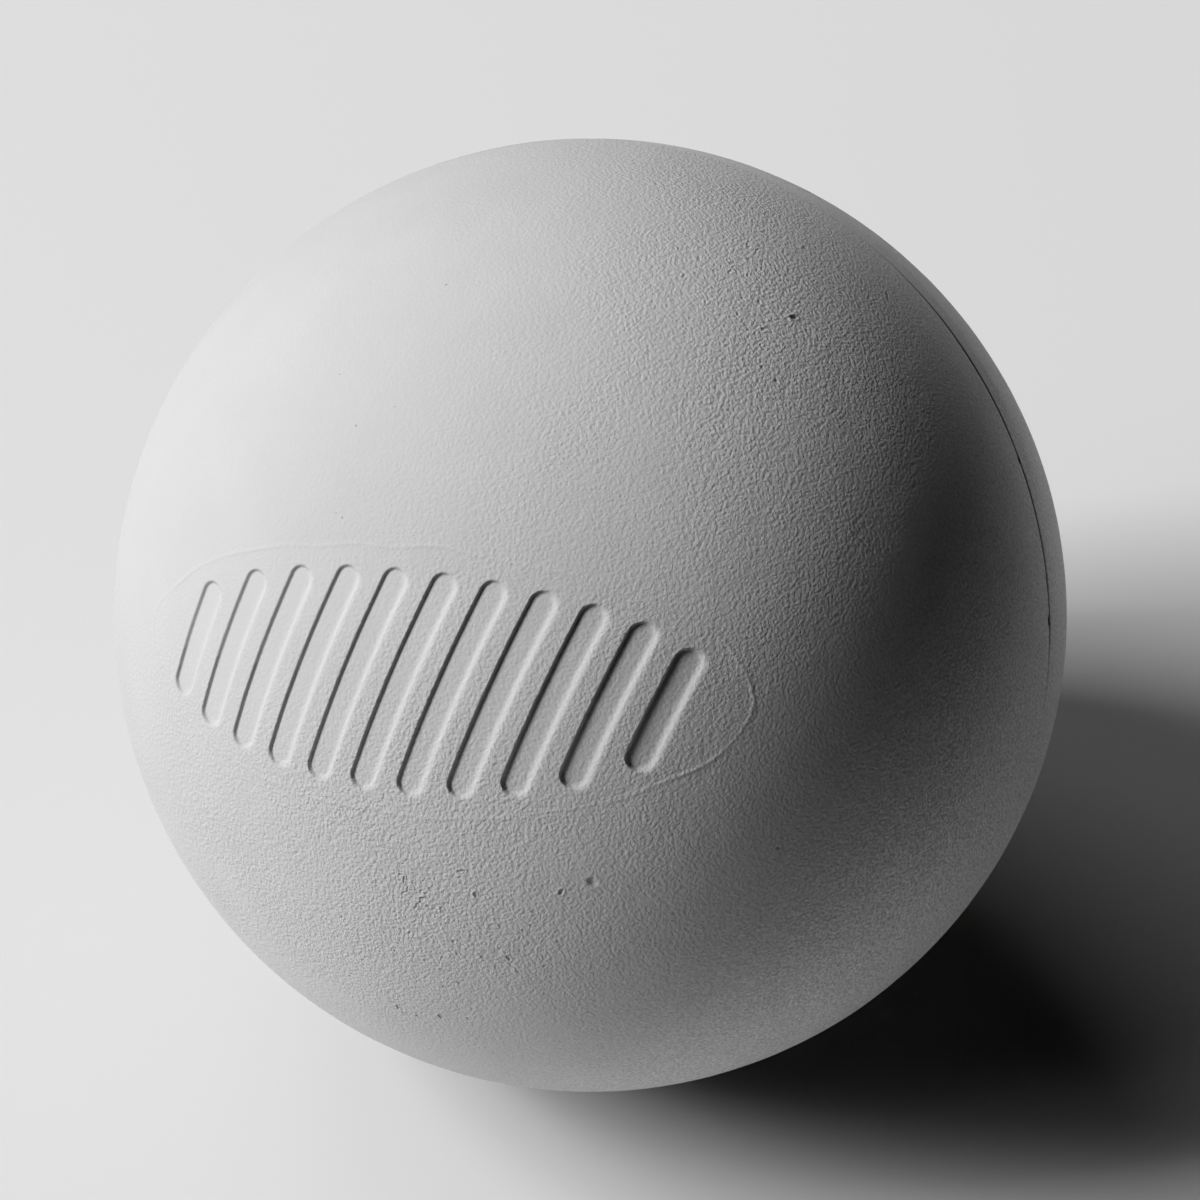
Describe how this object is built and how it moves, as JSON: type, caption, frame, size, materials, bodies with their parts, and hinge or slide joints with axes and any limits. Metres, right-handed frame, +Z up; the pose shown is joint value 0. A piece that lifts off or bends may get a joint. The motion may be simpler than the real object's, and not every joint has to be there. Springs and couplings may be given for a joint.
{
  "type": "lacrosse ball",
  "caption": "Solid pale grey rubber ball for lacrosse, moulded in halves that meet at a parting seam, with an oval patch of slanting grip grooves.",
  "frame": {"origin": "centre of the ball", "axes": "+Z up as the ball lies on a floor that touches it at Z = -32 mm; the front half's mould axis lies in the YZ plane and points to -Y and upwards; +X to the right seen from the front"},
  "size_m": [0.064, 0.064, 0.064],
  "materials": {
    "rubber": "matte, fine orange peel"
  },
  "bodies": {
    "root": {"front_half": "rubber", "rear_half": "rubber"}
  },
  "joints": []
}
